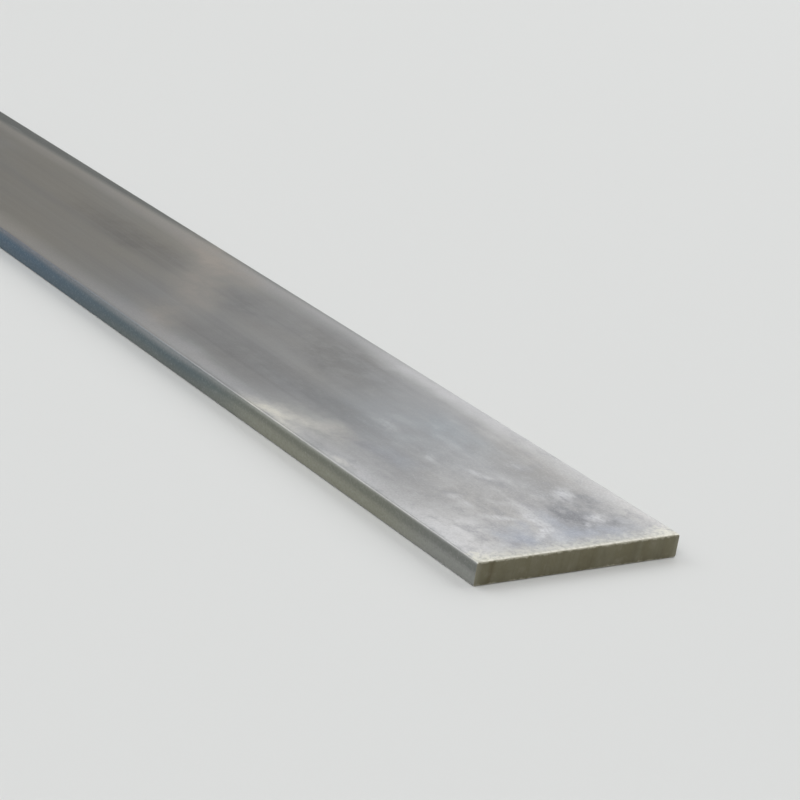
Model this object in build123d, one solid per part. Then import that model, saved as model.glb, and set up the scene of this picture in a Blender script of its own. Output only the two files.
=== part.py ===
from build123d import *
import os

# Plain flat bar of aluminium, sold as straight stock: one extruded length with a
# rectangular section, finely rounded long edges and square sawn ends.
# The origin is the middle of the underside. +X runs along the bar, Y across its
# width and +Z up through its thickness, with the bar lying flat.

# Driving dimensions, in millimetres
bar_length = 1000.0
bar_width = 50.0
bar_thickness = 5.0
long_edge_radius = 0.5
end_break = 0.2


def bar_section():
    """Section across the bar, resting on its underside, with the die's rounded long edges."""
    outline = RectangleRounded(
        bar_width,
        bar_thickness,
        long_edge_radius,
        align=(Align.CENTER, Align.MIN),
    )
    return Plane.YZ * outline


def flat_bar():
    """Extruded bar, sawn square to length, with the saw's burr filed off round both ends."""
    stock = extrude(bar_section(), bar_length / 2, both=True)
    sawn_ends = stock.faces().filter_by(Axis.X)
    return chamfer(sawn_ends.edges(), end_break)


os.makedirs("parts", exist_ok=True)
export_step(flat_bar(), "parts/flat_bar.step")
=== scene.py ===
import math

import bmesh
import bpy
import numpy as np
from mathutils import Matrix, Vector, noise


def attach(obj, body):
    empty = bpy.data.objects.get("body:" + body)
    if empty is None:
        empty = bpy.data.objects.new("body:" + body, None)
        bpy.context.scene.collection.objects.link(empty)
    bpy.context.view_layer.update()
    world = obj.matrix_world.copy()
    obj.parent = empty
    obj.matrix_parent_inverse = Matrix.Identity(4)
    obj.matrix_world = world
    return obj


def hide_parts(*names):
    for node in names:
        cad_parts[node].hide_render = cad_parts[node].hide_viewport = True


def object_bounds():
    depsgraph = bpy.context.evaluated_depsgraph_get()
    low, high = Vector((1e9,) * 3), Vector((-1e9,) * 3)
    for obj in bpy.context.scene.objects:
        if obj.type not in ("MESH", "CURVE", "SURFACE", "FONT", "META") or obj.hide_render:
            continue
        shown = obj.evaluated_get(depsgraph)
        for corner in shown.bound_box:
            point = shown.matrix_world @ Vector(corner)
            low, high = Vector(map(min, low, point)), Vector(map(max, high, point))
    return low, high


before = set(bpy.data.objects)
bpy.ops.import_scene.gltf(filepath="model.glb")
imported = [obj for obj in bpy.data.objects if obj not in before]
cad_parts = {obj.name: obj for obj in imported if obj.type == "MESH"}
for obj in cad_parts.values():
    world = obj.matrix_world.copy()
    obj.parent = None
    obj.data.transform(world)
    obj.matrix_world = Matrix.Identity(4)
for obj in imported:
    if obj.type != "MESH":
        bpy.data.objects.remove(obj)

cad_low, cad_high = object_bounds()

# The bar is one length of extruded aluminium with a plain rectangular section. The die
# leaves its long edges finely rounded, a saw cuts it square to length, and a file takes
# the burr off both ends. The mesh keeps to that section and adds the saw's marks.
MM = 0.001
LONG_EDGE_RADIUS = 0.5 * MM
END_BREAK = 0.2 * MM
END_BREAK_WANDER = 0.1 * MM
BURR_SWELLS = (30 * MM, 1.7 * MM, 9 * MM)
FACE_WAVE_DEPTH = 0.03 * MM
FACE_SWELLS = (70 * MM, 16 * MM, 9 * MM)
SAW_CENTRE = (-150 * MM, 12 * MM)
SAW_MARK_DEPTH = 0.03 * MM
BROAD_MARK_PITCH = 1.1 * MM
FINE_MARK_PITCH = 0.45 * MM
ENDS_APART = 0.3

half_length = (cad_high.x - cad_low.x) / 2
half_width = (cad_high.y - cad_low.y) / 2
half_thickness = (cad_high.z - cad_low.z) / 2

CORNER_STEPS = 3
SECTION_PITCH = 0.4 * MM
CLOSE_RINGS = 26
CLOSE_STRETCH = 20 * MM
CLOSE_CROWDING = 2.6
OPEN_PITCH = 6 * MM
SHARP_ANGLE = math.radians(32)


def stations(half, radius):
    """Places from -half to half: even along a flat, and closer round the corner at each end of it."""
    flat_end = half - radius
    flat = np.linspace(-flat_end, flat_end, round(2 * flat_end / SECTION_PITCH) + 1)
    corner = flat_end + radius * np.tan(np.linspace(0, math.pi / 4, CORNER_STEPS + 1))[1:]
    return np.concatenate([-corner[::-1], flat, corner])


def section(inset):
    """Lattice of points over the bar's section, with rounded corners, pulled in by inset all round."""
    radius = LONG_EDGE_RADIUS - inset
    y, z = np.meshgrid(
        stations(half_width - inset, radius),
        stations(half_thickness - inset, radius),
        indexing="ij",
    )
    flat_y = np.clip(y, LONG_EDGE_RADIUS - half_width, half_width - LONG_EDGE_RADIUS)
    flat_z = np.clip(z, LONG_EDGE_RADIUS - half_thickness, half_thickness - LONG_EDGE_RADIUS)
    over_y = y - flat_y
    over_z = z - flat_z
    reach = np.maximum(abs(over_y), abs(over_z))
    round_off = reach / np.maximum(np.hypot(over_y, over_z), 1e-12)
    return flat_y + over_y * round_off, flat_z + over_z * round_off


def ring_places():
    """Distances of the rings from a sawn end, hair-fine at the cut and wider towards the middle."""
    close = CLOSE_STRETCH * (np.arange(CLOSE_RINGS) / CLOSE_RINGS) ** CLOSE_CROWDING
    open_steps = math.ceil((half_length - CLOSE_STRETCH) / OPEN_PITCH)
    return np.concatenate([close, np.linspace(CLOSE_STRETCH, half_length, open_steps + 1)])


def outline_walk(columns, rows):
    """Lattice steps once round the section: under it, up one side, back over the top and down."""
    under = [(c, 0) for c in range(columns)]
    up = [(columns - 1, r) for r in range(1, rows)]
    over = [(c, rows - 1) for c in range(columns - 2, -1, -1)]
    down = [(0, r) for r in range(rows - 2, 0, -1)]
    return under + up + over + down


def swell(points, sizes):
    """Smooth random heights from -1 to 1 at the points, with swells of the given size on each axis."""
    return np.array([noise.noise(Vector(p)) for p in points / np.array(sizes)])


def wear(points):
    """Moves the points inwards for the saw's marks, the uneven burr line and the faces' faint waves."""
    x, y, z = points.T
    end = np.sign(x)
    from_end = half_length - abs(x)
    at_edge = np.clip(1 - from_end / (3 * END_BREAK), 0, 1)
    up = z / half_thickness
    out = y / half_width
    arc = np.hypot(y - SAW_CENTRE[0], z - SAW_CENTRE[1])
    stroke = np.stack([arc, end, 0 * arc], axis=1)
    broad_marks = swell(stroke, (BROAD_MARK_PITCH, ENDS_APART, 1))
    fine_marks = swell(stroke, (FINE_MARK_PITCH, ENDS_APART, 1))
    saw_marks = np.clip(0.5 + 0.4 * (broad_marks + 0.6 * fine_marks), 0, 1)
    burr = 0.5 + 0.5 * swell(points, BURR_SWELLS)
    waves = 0.5 + 0.5 * swell(points, FACE_SWELLS)
    x = x - end * at_edge * SAW_MARK_DEPTH * saw_marks
    z = z - up * (at_edge * END_BREAK_WANDER * burr + FACE_WAVE_DEPTH * waves)
    y = y - out * at_edge * END_BREAK_WANDER * burr
    return np.stack([x, y, z], axis=1)


def bar_mesh():
    """Skin of the whole bar: rings of points round the section along its length, and both sawn faces."""
    columns, rows = section(0)[0].shape
    walk = outline_walk(columns, rows)
    from_end = ring_places()
    rings = [(-1, d) for d in from_end] + [(1, d) for d in from_end[-2::-1]]
    points = []
    for end, distance in rings:
        y, z = section(max(END_BREAK - distance, 0))
        points += [(end * (half_length - distance), y[step], z[step]) for step in walk]
    faces = []
    lap = len(walk)
    for ring in range(len(rings) - 1):
        for i in range(lap):
            here, there = ring * lap + i, ring * lap + (i + 1) % lap
            faces.append((here, there, there + lap, here + lap))
    cut_y, cut_z = section(END_BREAK)
    for end, first in ((-1, 0), (1, (len(rings) - 1) * lap)):
        index = {step: first + i for i, step in enumerate(walk)}
        for c in range(1, columns - 1):
            for r in range(1, rows - 1):
                index[c, r] = len(points)
                points.append((end * half_length, cut_y[c, r], cut_z[c, r]))
        for c in range(columns - 1):
            for r in range(rows - 1):
                faces.append((index[c, r], index[c + 1, r], index[c + 1, r + 1], index[c, r + 1]))
    worn = wear(np.array(points)) + (0, 0, half_thickness)
    mesh = bpy.data.meshes.new("flat_bar_skin")
    mesh.from_pydata(worn.tolist(), [], faces)
    shell = bmesh.new()
    shell.from_mesh(mesh)
    bmesh.ops.recalc_face_normals(shell, faces=shell.faces)
    shell.to_mesh(mesh)
    shell.free()
    mesh.shade_smooth()
    mesh.set_sharp_from_angle(angle=SHARP_ANGLE)
    return mesh


bar = bpy.data.objects.new("flat_bar_worn", bar_mesh())
bpy.context.scene.collection.objects.link(bar)
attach(bar, "root")
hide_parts("flat_bar")


# The metal is left as it comes from the mill: dull, faintly streaked along its length by
# the die, with a painted sheen that makes it paler towards its long edges, clouded and stained
# by handling, and frosted and scuffed near the cut. The narrow sides and the sawn faces carry
# painted reflection and shade, and the sawn faces are painted a darker olive grey.
class Reading:
    """A value or colour read off the surface. Arithmetic on it adds the nodes that work it out."""

    def __init__(self, socket):
        self.socket = socket

    def feed(self, inputs):
        """Sets sockets of the node that this reading comes from, or links other readings to them."""
        for name, value in inputs.items():
            fed = self.socket.node.inputs[name]
            if isinstance(value, Reading):
                self.socket.id_data.links.new(value.socket, fed)
            else:
                fed.default_value = value

    def node(self, kind, settings, inputs, output=0):
        """Adds a node, sets it up, feeds its sockets and hands back one of its outputs."""
        made = self.socket.id_data.nodes.new(kind)
        for name, value in settings.items():
            setattr(made, name, value)
        reading = Reading(made.outputs[output])
        reading.feed(inputs)
        return reading

    def math(self, operation, *terms):
        return self.node("ShaderNodeMath", {"operation": operation}, dict(enumerate(terms)))

    def vector(self, operation, *terms, output="Vector"):
        settings = {"operation": operation}
        return self.node("ShaderNodeVectorMath", settings, dict(enumerate(terms)), output)

    def __add__(self, other):
        return self.math("ADD", self, other)

    def __sub__(self, other):
        return self.math("SUBTRACT", self, other)

    def __rsub__(self, other):
        return self.math("SUBTRACT", other, self)

    def __mul__(self, other):
        return self.math("MULTIPLY", self, other)

    __radd__ = __add__
    __rmul__ = __mul__

    def __abs__(self):
        return self.math("ABSOLUTE", self)

    def rise(self, low, high):
        """0 below low, 1 above high and smooth between. With low above high it falls instead."""
        limits = {"Value": self, "From Min": low, "From Max": high}
        return self.node("ShaderNodeMapRange", {"interpolation_type": "SMOOTHSTEP"}, limits)


def tone(red, green, blue):
    """A colour written as it shows on a screen, 0 to 255, turned into the light it reflects."""
    return (*(((c / 255 + 0.055) / 1.055) ** 2.4 for c in (red, green, blue)), 1.0)


finish = bpy.data.materials.new("mill_finish_aluminium")
finish.use_nodes = True
surface = Reading(finish.node_tree.nodes["Principled BSDF"].outputs["BSDF"])
coordinates = surface.node("ShaderNodeTexCoord", {}, {}, "Object")
place = coordinates.vector("MULTIPLY", coordinates, (1 / MM, 1 / MM, 1 / MM))
x, y, z = (place.node("ShaderNodeSeparateXYZ", {}, {0: place}, axis) for axis in "XYZ")
front = half_length / MM
left = half_width / MM
mid_height = half_thickness / MM
from_front = front - x
from_cut = front - abs(x)
from_edge = left - abs(y)


def cloud(along, across, seed, detail=2.0, roughness=0.5, output=0):
    """Random reading about 0.5, in blots of a size in mm along the bar and across it."""
    spot = place.vector(
        "MULTIPLY_ADD",
        place,
        (1 / along, 1 / across, 1 / across),
        (seed, 2.7 * seed, -seed),
    )
    return place.node(
        "ShaderNodeTexNoise",
        {"noise_dimensions": "3D"},
        {"Vector": spot, "Scale": 1.0, "Detail": detail, "Roughness": roughness},
        output,
    )


MIX_AMOUNT = 0
MIX_UNDER = 6
MIX_OVER = 7
MIX_COLOUR = 2


def blend(amount, under, over):
    """Colour of a layer over another, laid on by an amount from 0 to 1."""
    inputs = {MIX_AMOUNT: amount, MIX_UNDER: under, MIX_OVER: over}
    return place.node("ShaderNodeMix", {"data_type": "RGBA"}, inputs, MIX_COLOUR)


# Plain metal, warmer away from the front end, with the die's broad and fine streaks in it,
# a painted sheen as a paler band along each long edge, and a painted dark reflection along
# the left edge further back.
handling = cloud(60, 22, 1.3, detail=3)
broad_streaks = cloud(150, 5, 6.7, detail=2)
die_streaks = cloud(160, 1.6, 3.1, detail=4, roughness=0.6)
die_hairs = cloud(90, 0.22, 8.4, detail=3)
grain = cloud(0.5, 0.45, 2.9, detail=3, roughness=0.7)
warm = from_front.rise(110, 215) * from_front.rise(420, 280) * 0.75 + (handling - 0.5) * 1.2 + 0.15
metal = blend(warm, tone(151, 151, 152), tone(156, 150, 140))
metal = blend(broad_streaks.rise(0.5, 0.85) * 0.5, metal, tone(132, 131, 130))
metal = blend(die_streaks.rise(0.5, 0.85) * 0.3, metal, tone(124, 122, 119))
metal = blend(die_streaks.rise(0.5, 0.2) * 0.22, metal, tone(178, 177, 175))
edge_run = cloud(45, 30, 4.6, detail=3)
inset = from_front.rise(120, 220) * y.rise(0, 20) * 3
# Painted sheen: a paler band along each long edge of the upper face.
edge_sheen_band = (from_edge - inset + (edge_run - 0.5) * 7).rise(8.5, 1.5)
metal = blend(edge_sheen_band * 0.9, metal, blend(warm, tone(176, 176, 178), tone(180, 174, 165)))
# Painted dark reflection: a dark line along the left edge of the upper face, from about 55 mm back,
# widening further back.
left_edge_dark_reflection = (left - y - from_front.rise(110, 320) * 4.6).rise(2, -1) * from_front.rise(55, 110)
metal = blend(left_edge_dark_reflection * 0.9, metal, tone(116, 118, 114))

# Away from the front end, handling has left paler and darker clouds and a few scuffs.
away = from_front.rise(200, 330)
handling_clouds = cloud(38, 17, 15.2, detail=4, roughness=0.55)
metal = blend(handling_clouds.rise(0.5, 0.8) * away * 0.5, metal, tone(128, 128, 128))
metal = blend(handling_clouds.rise(0.5, 0.25) * away * 0.4, metal, tone(180, 178, 175))
rubs = cloud(14, 1.7, 18.6, detail=3, roughness=0.6)
metal = blend(rubs.rise(0.62, 0.78) * away * 0.55, metal, tone(196, 195, 193))

# Marks on the upper face by the front end. Each is given by how far back from the cut and in
# from the right edge it lies, its length and width in mm, its turn in degrees, and how
# strongly it shows.
wander = cloud(9, 9, 7.7, detail=5, roughness=0.6, output="Color")
drift = wander.vector("SUBTRACT", wander, (0.5, 0.5, 0.5))
MARK_REACH = 1.25
MARK_DEPTH = 1.6


def marks(*spots, spread=9):
    """Amount of soft marks on the upper face, with their edges pushed about by spread mm."""
    pushed = drift.vector("MULTIPLY_ADD", drift, (spread, spread, 0), place)
    amount = 0.0
    for back, across, length, width, turn, strength in spots:
        spot = pushed.node(
            "ShaderNodeMapping",
            {"vector_type": "TEXTURE"},
            {
                "Vector": pushed,
                "Location": (front - back, across - left, 2 * mid_height),
                "Rotation": (0, 0, math.radians(turn)),
                "Scale": (length / 2, width / 2, MARK_DEPTH),
            },
        )
        from_middle = spot.vector("LENGTH", spot, output="Value")
        amount = amount + from_middle.rise(MARK_REACH, 0) * strength
    return amount


near_cut = from_cut.rise(75, 5)
frost_blots = cloud(6, 5, 5.2, detail=6, roughness=0.65)
broken = 0.6 + frost_blots.rise(0.3, 0.7) * 0.8

grey_clouds = marks(
    (190, 31, 68, 14, 0, 0.66),
    (140, 33, 34, 18, -20, 0.5),
    (106, 37, 62, 26, 0, 0.66),
    (90, 31, 46, 24, -20, 0.58),
    (100, 15, 80, 17, 0, 0.56),
    (72, 16.5, 42, 12, 0, 0.78),
    (66, 37, 44, 16, 0, 0.38),
    (57, 2, 12, 7, 0, 0.4),
    (50, 24, 38, 26, 0, 0.27),
    (41, 12.5, 34, 14, 0, 0.48),
    (35, 38, 38, 16, 0, 0.94),
    (34, 47.5, 44, 8, 0, 0.42),
    (31, 4, 20, 12, 0, 0.38),
    (25, 32, 10, 12, 0, 0.34),
    (23, 20, 16, 14, 0, 0.2),
    (20, 44.5, 20, 8, 0, 0.28),
    (16, 27, 10, 6, -20, 0.22),
)
metal = blend(grey_clouds * broken, metal, metal.vector("MULTIPLY", metal, (0.67, 0.67, 0.66)))
warm_rubs = marks(
    (170, 44, 56, 14, -6, 0.62),
    (153, 30, 72, 16, -38, 0.46),
    (133, 7, 36, 13, -25, 0.46),
    (63, 10.5, 14, 10, 0, 0.3),
)
metal = blend(warm_rubs * broken, metal, tone(184, 175, 165))
pale_rubs = marks(
    (118, 3, 60, 9, 0, 0.28),
    (88, 47.5, 52, 9, 0, 0.38),
    (14, 8, 10, 8, 0, 0.34),
    (9, 6, 36, 20, 0, 0.4),
)
metal = blend(pale_rubs * broken, metal, tone(198, 197, 198))
steel_bloom = marks(
    (63, 26, 54, 38, 0, 0.46),
    (58, 35.5, 30, 15, 0, 0.5),
)
metal = blend(steel_bloom * broken, metal, tone(135, 140, 144))
blue_bloom = marks(
    (48.5, 14.5, 18, 8, 0, 0.5),
    (12, 19.5, 9, 5, 0, 0.45),
    (9.5, 28, 20, 11, 0, 0.66),
    (8, 15, 17, 9, 20, 0.7),
    (5.5, 37, 9, 18, 0, 0.62),
    (5.5, 24, 8, 32, 0, 0.4),
)
metal = blend(blue_bloom * broken, metal, tone(131, 136, 146))
cream_stains = marks(
    (75, 1, 26, 6, 0, 0.8),
    (73, 4.5, 24, 7, 8, 0.34),
    (69, 7, 34, 14, 0, 0.2),
    (48, 1, 14, 4, 0, 0.4),
)
metal = blend(cream_stains * broken, metal, tone(224, 220, 209))
dark_smudges = marks(
    (20.5, 40.5, 9, 4.5, 20, 0.6),
    (17, 31.5, 12, 8, -30, 0.24),
    (15, 36, 30, 17, -14, 0.66),
    (12.5, 33.8, 14, 9, -20, 0.76),
    (9, 41, 6, 9, 10, 0.5),
    (5.6, 13.6, 8, 7, 0, 0.36),
)
mottle = cloud(3.6, 2.6, 16.8, detail=3, roughness=0.5)
metal = blend(dark_smudges * (0.5 + mottle.rise(0.28, 0.7) * 0.8), metal, tone(101, 102, 106))

# Frost near the cut, faintly brushed at its back, with white scuffs and a fine speckle over it.
# Right along the edge is the cream band that the saw and the file leave, paler towards the
# corners, with dark crumbs in it, a bright rim and small chips out of the rim.
frosted = from_cut.rise(105, 10)
metal = blend(frosted * frost_blots.rise(0.42, 0.72) * 0.35, metal, tone(184, 184, 186))
metal = blend(frosted * frost_blots.rise(0.5, 0.28) * 0.5, metal, tone(116, 117, 122))
brushed = cloud(9, 3.2, 21.4, detail=2)
brushing = from_cut.rise(95, 55) * from_cut.rise(22, 48)
metal = blend(brushing * brushed.rise(0.5, 0.75) * 0.18, metal, tone(178, 179, 181))
metal = blend(brushing * brushed.rise(0.5, 0.25) * 0.22, metal, tone(118, 119, 121))
scuff_grain = cloud(1.6, 0.9, 12.4, detail=4, roughness=0.7)
scuffs = marks(
    (63, 23, 11, 4.5, 0, 0.3),
    (45.5, 21.6, 6, 2.6, -40, 0.36),
    (38.3, 38, 6, 4.5, 0, 0.26),
    (36.6, 26.8, 6, 3.4, 20, 0.4),
    (34.2, 28.3, 4, 3, -20, 0.24),
    (31.4, 31, 4, 3, 0, 0.18),
    (28.5, 15, 5, 3.4, 0, 0.36),
    (24, 14.4, 6, 3, -10, 0.3),
    (22.5, 38.3, 9, 5, -24, 0.5),
    (20, 26, 10, 3.4, 15, 0.2),
    (16.5, 17, 11, 2.6, 66, 0.44),
    (13.5, 24, 19, 5.2, -5, 0.52),
    (11.4, 37.6, 6, 5, 30, 0.58),
    (8.6, 33.8, 3.4, 1.6, -30, 0.5),
    (7.5, 21.5, 11, 2.2, -56, 0.44),
    spread=6,
)
metal = blend(scuffs * (0.3 + scuff_grain.rise(0.34, 0.6) * 0.7), metal, tone(200, 200, 203))
speckle = 0.11 + near_cut * 0.12 + edge_sheen_band * 0.12
metal = blend(grain.rise(0.48, 0.78) * speckle, metal, tone(214, 214, 212))
metal = blend(grain.rise(0.52, 0.22) * speckle, metal, tone(102, 102, 106))
corner = from_edge.rise(9, 0.5)
crumbs = cloud(0.85, 1.1, 9.1, detail=4, roughness=0.65)
cut_band = (crumbs * 0.8 + 0.2 - from_cut * 0.06 + corner * 0.09).rise(0.36, 0.66)
metal = blend(from_cut.rise(5, 0) * 0.2, metal, tone(196, 194, 184))
metal = blend(cut_band * 0.5, metal, tone(196, 194, 182))
metal = blend(cut_band * corner * 0.5, metal, tone(214, 212, 198))
metal = blend(crumbs.rise(0.52, 0.3) * from_cut.rise(6, 1) * 0.55, metal, tone(126, 126, 122))
rim = (from_cut + (crumbs - 0.5) * 1.6).rise(1, 0.3)
metal = blend(rim * 0.6, metal, tone(200, 197, 185))
chips = cloud(1, 0.9, 23.5, detail=3)
metal = blend(from_cut.rise(1.5, 0.6) * chips.rise(0.56, 0.4) * 0.42, metal, tone(142, 138, 126))

# Narrow sides, painted with reflected light and shade: a blue-grey painted sky reflection
# with a painted paler foot away from the ends, and nearer to them an olive grey with a painted
# paler lower half, a painted darker upper half and a painted highlight along the upper arris.
side_wander = z + (die_streaks - 0.5) * 2.4 + (handling - 0.5) * 2.4
olive = from_cut.rise(10, 35)
# Painted reflection and shade near the ends: a paler lower half and a darker upper half.
painted_side_lower = blend(olive, tone(161, 162, 158), tone(159, 159, 146))
painted_side_upper = blend(olive, tone(132, 134, 130), tone(131, 133, 123))
# Painted highlight: a paler band at the top of each side, away from the cut.
painted_side_upper = blend(z.rise(3.8, 4.7) * from_cut.rise(20, 80) * 0.8, painted_side_upper, tone(173, 175, 167))
painted_side_near = blend(side_wander.rise(1.5, 3.4), painted_side_lower, painted_side_upper)
far_along = from_cut.rise(110, 200)
on_side = (from_edge - from_cut.rise(85, 150) * 0.2).rise(0.24, 0.05)
# Painted sky reflection: the blue grey of the sides away from the ends, with a painted paler foot and a
# paler top band.
side_sky_reflection = blend(far_along, tone(104, 117, 122), tone(88, 110, 129))
painted_side_foot = z.rise(3, 0.5) * (from_cut.rise(165, 120) * 0.5 + 0.2)
side_sky_reflection = blend(painted_side_foot, side_sky_reflection, tone(134, 138, 134))
side_pale_reflection = blend(far_along, tone(150, 154, 156), tone(128, 132, 139))
painted_side_far = blend(side_wander.rise(3, 4.9), side_sky_reflection, side_pale_reflection)
side_end = from_cut + (handling - 0.5) * 60
side_reflection_and_grain = blend(side_end.rise(112, 60), painted_side_far, painted_side_near)
# Fine grain of the metal over the painted side colours.
side_reflection_and_grain = blend(grain.rise(0.5, 0.75) * 0.25, side_reflection_and_grain, tone(196, 196, 192))
side_reflection_and_grain = blend(grain.rise(0.5, 0.25) * 0.25, side_reflection_and_grain, tone(88, 90, 90))
metal = blend(on_side, metal, side_reflection_and_grain)
# Painted highlight along the upper arris of each side, near the front end.
arris_highlight = from_edge.rise(0.8, 0.2) * z.rise(4.3, 4.85) * from_cut.rise(95, 45)
metal = blend(arris_highlight * 0.25, metal, tone(234, 234, 230))

# Sawn faces, with the blade's curved strokes across them and crumbs of burr at the rim, over a painted
# shade that makes them a dark olive grey.
flat_place = place.vector("MULTIPLY", place, (0, 1, 1))
saw_across = SAW_CENTRE[0] / MM
saw_height = SAW_CENTRE[1] / MM + mid_height
stroke = flat_place.vector("DISTANCE", flat_place, (0, saw_across, saw_height), output="Value")


def strokes(per_mm, detail):
    """Random reading about 0.5 that keeps to the curve of the blade's strokes."""
    return stroke.node(
        "ShaderNodeTexNoise",
        {"noise_dimensions": "1D"},
        {"W": stroke, "Scale": per_mm, "Detail": detail},
    )


broad_strokes = strokes(0.22, detail=2)
fine_strokes = strokes(1.9, detail=3)
sawn_blots = cloud(2, 2.6, 11.3, detail=5, roughness=0.6)
# Painted shade: the sawn faces' dark olive grey base, with the blade's strokes and blots laid over it.
sawn_metal_and_shade = blend(broad_strokes.rise(0.3, 0.7), tone(124, 119, 98), tone(129, 125, 106))
sawn_metal_and_shade = blend(fine_strokes.rise(0.54, 0.8) * 0.16, sawn_metal_and_shade, tone(98, 93, 75))
for across, strength in ((4, 0.3), (39.2, 0.22)):
    deep_stroke = abs(stroke - (across - left - saw_across)).rise(1, 0)
    sawn_metal_and_shade = blend(deep_stroke * strength, sawn_metal_and_shade, tone(88, 80, 58))
sawn_metal_and_shade = blend(sawn_blots.rise(0.5, 0.8) * 0.4, sawn_metal_and_shade, tone(156, 152, 137))
sawn_metal_and_shade = blend(sawn_blots.rise(0.5, 0.25) * 0.3, sawn_metal_and_shade, tone(104, 100, 82))
sawn_metal_and_shade = blend(from_edge.rise(1.6, 0.4) * 0.45, sawn_metal_and_shade, tone(156, 153, 138))
from_flat = mid_height - abs(z - mid_height)
burr_crumbs = (from_flat + (crumbs - 0.5) * 1.4).rise(0.5, 0.12)
sawn_metal_and_shade = blend(burr_crumbs * 0.7, sawn_metal_and_shade, tone(192, 188, 172))
sawn = from_cut.rise(0.22, 0.1)
metal = blend(sawn, metal, sawn_metal_and_shade)

roughness = 0.36 + (grain - 0.5) * 0.12 + cut_band * 0.06 + sawn * 0.16
relief = (
    die_hairs * 0.25
    + die_streaks * 0.5
    + grain * near_cut * 0.35
    + cut_band * 0.3
    + fine_strokes * sawn * 0.5
)
bumped = relief.node("ShaderNodeBump", {}, {"Strength": 0.15, "Distance": 0.02 * MM, "Height": relief})
surface.feed({"Base Color": metal, "Metallic": 1.0, "Roughness": roughness, "Normal": bumped})
bar.data.materials.append(finish)


# The bar lies on a plain pale floor with a dull surface. The floor runs out of sight, and far
# from the bar it shows the same even tone as the room behind it, so no horizon is seen.
FLOOR_REACH = 12.0
FADE_START = 1.1
FADE_END = 3.2
FLOOR_TONE = tone(222, 222, 220)
FAR_TONE = tone(220, 221, 219)
floor_mesh = bpy.data.meshes.new("floor")
corners = [(-1, -1), (1, -1), (1, 1), (-1, 1)]
floor_mesh.from_pydata([(a * FLOOR_REACH, b * FLOOR_REACH, 0.0) for a, b in corners], [], [(0, 1, 2, 3)])
floor = bpy.data.objects.new("floor", floor_mesh)
bpy.context.scene.collection.objects.link(floor)
floor_paint = bpy.data.materials.new("pale_floor")
floor_paint.use_nodes = True
floor_surface = Reading(floor_paint.node_tree.nodes["Principled BSDF"].outputs["BSDF"])
floor_surface.feed({"Base Color": FLOOR_TONE, "Roughness": 0.9})


def seen(start):
    """1 for light that is seen straight, in a gloss or through glass, and 0 for all other light."""
    straight, gloss, through = (
        start.node("ShaderNodeLightPath", {}, {}, ray)
        for ray in ("Is Camera Ray", "Is Glossy Ray", "Is Transmission Ray")
    )
    return straight.math("MINIMUM", straight + gloss + through, 1.0)


floor_spot = floor_surface.node("ShaderNodeTexCoord", {}, {}, "Object")
far_off = floor_spot.vector("LENGTH", floor_spot, output="Value").rise(FADE_START, FADE_END)
far_floor = floor_spot.node("ShaderNodeEmission", {}, {"Color": FAR_TONE})
floor_shaders = {0: far_off * seen(floor_spot), 1: floor_surface, 2: far_floor}
floor_look = far_floor.node("ShaderNodeMixShader", {}, floor_shaders)
floor_output = floor_paint.node_tree.nodes["Material Output"]
floor_paint.node_tree.links.new(floor_look.socket, floor_output.inputs["Surface"])
floor_mesh.materials.append(floor_paint)


# Even room light from all round, one very large soft lamp behind the bar's far side, and
# two more that fill in from the front and from the left. The lowest part of the room is
# seen in the floor's far tone.
ROOM_LIGHT = 0.3
ROOM_TINT = (0.93, 0.97, 1.0, 1.0)
HORIZON_TOP = 0.2
HORIZON_FULL = 0.1
room = bpy.data.worlds.new("studio")
room.use_nodes = True
room_light = Reading(room.node_tree.nodes["Background"].outputs["Background"])
room_light.feed({"Color": ROOM_TINT, "Strength": ROOM_LIGHT})
toward_sky = room_light.node("ShaderNodeTexCoord", {}, {}, "Generated")
height = toward_sky.node("ShaderNodeSeparateXYZ", {}, {0: toward_sky}, "Z")
low_down = height.rise(HORIZON_TOP, HORIZON_FULL)
horizon = height.node("ShaderNodeBackground", {}, {"Color": FAR_TONE})
room_shaders = {0: low_down * seen(height), 1: room_light, 2: horizon}
room_look = height.node("ShaderNodeMixShader", {}, room_shaders)
room.node_tree.links.new(room_look.socket, room.node_tree.nodes["World Output"].inputs["Surface"])
bpy.context.scene.world = room


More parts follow.
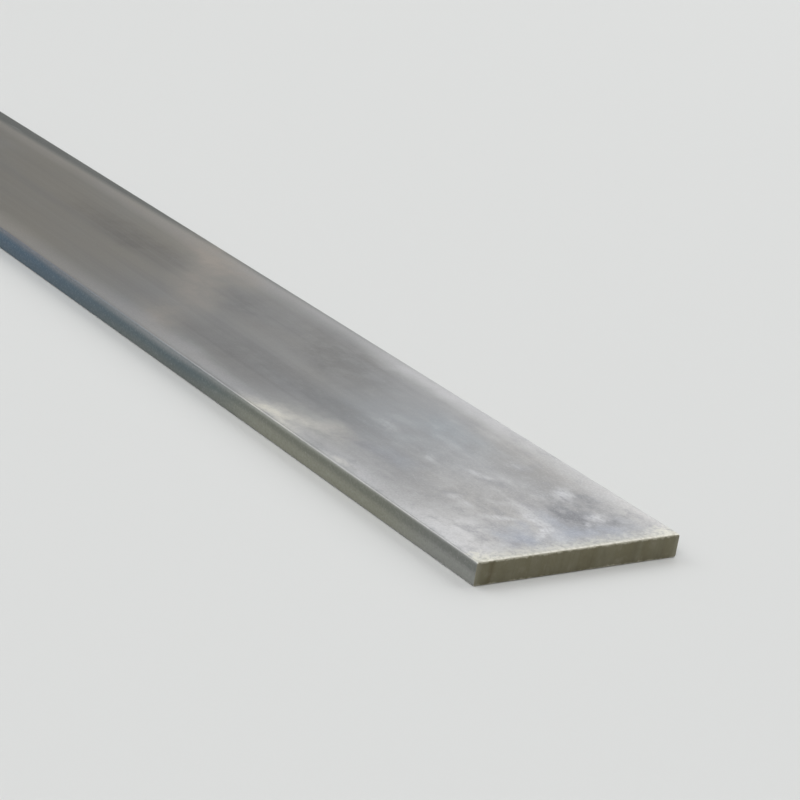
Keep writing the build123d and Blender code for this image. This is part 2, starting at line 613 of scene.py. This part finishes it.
def soft_lamp(name, azimuth, elevation, distance, width, height, power):
    """A large flat lamp that faces the bar's front end from a compass direction."""
    lamp = bpy.data.lights.new(name, "AREA")
    lamp.shape = "RECTANGLE"
    lamp.size = width
    lamp.size_y = height
    lamp.energy = power
    stand = bpy.data.objects.new(name, lamp)
    turn = math.radians(azimuth)
    lift = math.radians(elevation)
    toward = Vector((math.cos(turn) * math.cos(lift), math.sin(turn) * math.cos(lift), math.sin(lift)))
    stand.location = Vector((half_length, 0, 0)) + toward * distance
    stand.rotation_mode = "QUATERNION"
    stand.rotation_quaternion = (-toward).to_track_quat("-Z", "Y")
    bpy.context.scene.collection.objects.link(stand)


soft_lamp("back_softbox", azimuth=108, elevation=40, distance=2.6, width=3.4, height=2.4, power=38)
soft_lamp("front_softbox", azimuth=-50, elevation=48, distance=2.8, width=3.0, height=2.2, power=34)
soft_lamp("left_softbox", azimuth=215, elevation=48, distance=2.8, width=2.4, height=2.2, power=22)


# The camera stands off the bar's right side, close to its front end, and looks down at the
# sawn face from about 20 degrees up. It is a little tipped to one side.
AIM_BACK = 0.0868
AIM_LEFT = 0.0183
CAMERA_AZIMUTH = 52.2
CAMERA_ELEVATION = 19.6
CAMERA_TIP = 9.4
CAMERA_DISTANCE = 0.5475
LENS = 111.6
aim = Vector((half_length - AIM_BACK, AIM_LEFT, 0.0))
turn = math.radians(CAMERA_AZIMUTH)
lift = math.radians(CAMERA_ELEVATION)
back = Vector((math.sin(turn) * math.cos(lift), -math.cos(turn) * math.cos(lift), math.sin(lift)))
camera = bpy.data.objects.new("camera", bpy.data.cameras.new("camera"))
camera.data.lens = LENS
camera.data.sensor_width = 36
camera.data.clip_start = 0.01
camera.location = aim + back * CAMERA_DISTANCE
level = (-back).to_track_quat("-Z", "Y").to_matrix()
tip = Matrix.Rotation(math.radians(CAMERA_TIP), 3, "Z")
camera.rotation_euler = (level @ tip).to_euler()
bpy.context.scene.collection.objects.link(camera)
bpy.context.scene.camera = camera
bpy.context.scene.view_settings.view_transform = "Standard"
